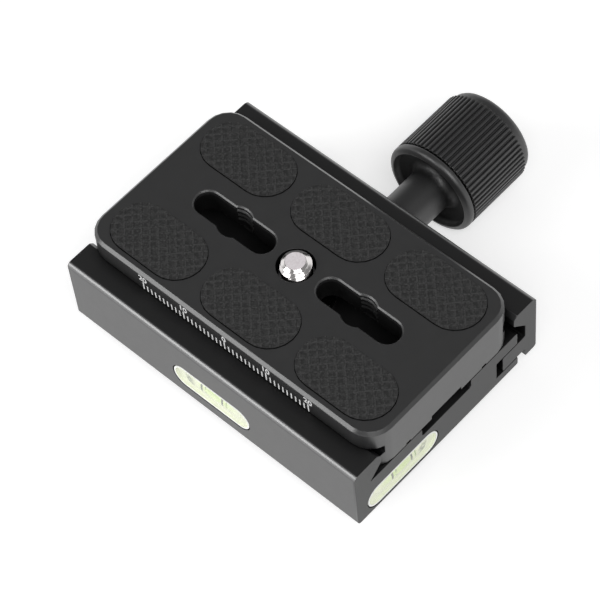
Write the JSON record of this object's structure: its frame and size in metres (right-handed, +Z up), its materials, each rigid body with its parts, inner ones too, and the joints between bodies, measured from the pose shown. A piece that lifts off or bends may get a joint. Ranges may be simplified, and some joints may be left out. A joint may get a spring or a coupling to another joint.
{
  "type": "quick release plate clamp",
  "caption": "Screw-knob dovetail clamp with a sliding jaw and bubble levels, holding a slotted quick release camera plate with rubber pads and a captive camera screw.",
  "frame": {"origin": "Middle of the bounding box at its lowest point, which is the lowest point of the knob, 4.3 mm below the flat underside of the base.", "axes": "+X along the dovetail and the long side of the clamp, to the end with the side level. +Y from the fixed front jaw to the knob. +Z up, out of the top of the camera plate."},
  "size_m": [0.07, 0.0786, 0.0271],
  "materials": {
    "black_anodised": "satin black anodised",
    "plate_anodised": "satin black anodised, bright cut top edge",
    "knob_anodised": "satin black anodised, fluted grip",
    "steel": "bright plated steel",
    "spring_steel": "drawn spring steel",
    "washer_nylon": "natural nylon",
    "pad_rubber": "black rubber with a fine raised grid",
    "level_acrylic": "clear pale acrylic",
    "level_fluid": "yellow-green level fluid",
    "level_plug": "moulded plug",
    "bushing_brass": "machined brass"
  },
  "bodies": {
    "base": {"clamp_base": "black_anodised", "guide_pin_left": "steel", "guide_pin_right": "steel", "return_spring_left": "spring_steel", "return_spring_right": "spring_steel", "front_level_vial": "level_acrylic", "front_level_fluid": "level_fluid", "front_level_plug": "level_plug", "side_level_vial": "level_acrylic", "side_level_fluid": "level_fluid", "side_level_plug": "level_plug", "tripod_bushing": "bushing_brass"},
    "jaw": {"sliding_jaw": "black_anodised", "thrust_washer": "washer_nylon"},
    "knob": {"clamp_knob": "knob_anodised", "clamp_screw": "steel"},
    "plate": {"camera_plate": "plate_anodised", "pad_front_left": "pad_rubber", "pad_front_middle": "pad_rubber", "pad_front_right": "pad_rubber", "pad_back_left": "pad_rubber", "pad_back_middle": "pad_rubber", "pad_back_right": "pad_rubber"},
    "ring": {"screw_retaining_ring": "spring_steel"},
    "screw": {"camera_screw": "steel"}
  },
  "joints": [
    {"name": "knob_turn", "type": "hinge", "parent": "jaw", "child": "knob", "pos_m": [0, 0, 0.01], "axis": [0, 1, 0], "range_deg": [-630.5, 1350.5]},
    {"name": "jaw_slide", "type": "slide", "parent": "base", "child": "jaw", "axis": [0, 1, 0], "range_m": [-0.0014, 0.003], "deforming": ["return_spring_left", "return_spring_right"]},
    {"name": "plate_slide", "type": "slide", "parent": "base", "child": "plate", "axis": [1, 0, 0], "range_m": [-0.02, 0.02]},
    {"name": "screw_float", "type": "slide", "parent": "plate", "child": "ring", "axis": [0, 0, 1], "range_m": [0, 0.0022]},
    {"name": "screw_turn", "type": "hinge", "parent": "ring", "child": "screw", "pos_m": [0, -0.01519, 0.0151], "axis": [0, 0, 1], "continuous": true}
  ],
  "couplings": [
    {"joint": "knob_turn", "follows": "jaw_slide", "rad_per_m": 7854}
  ]
}
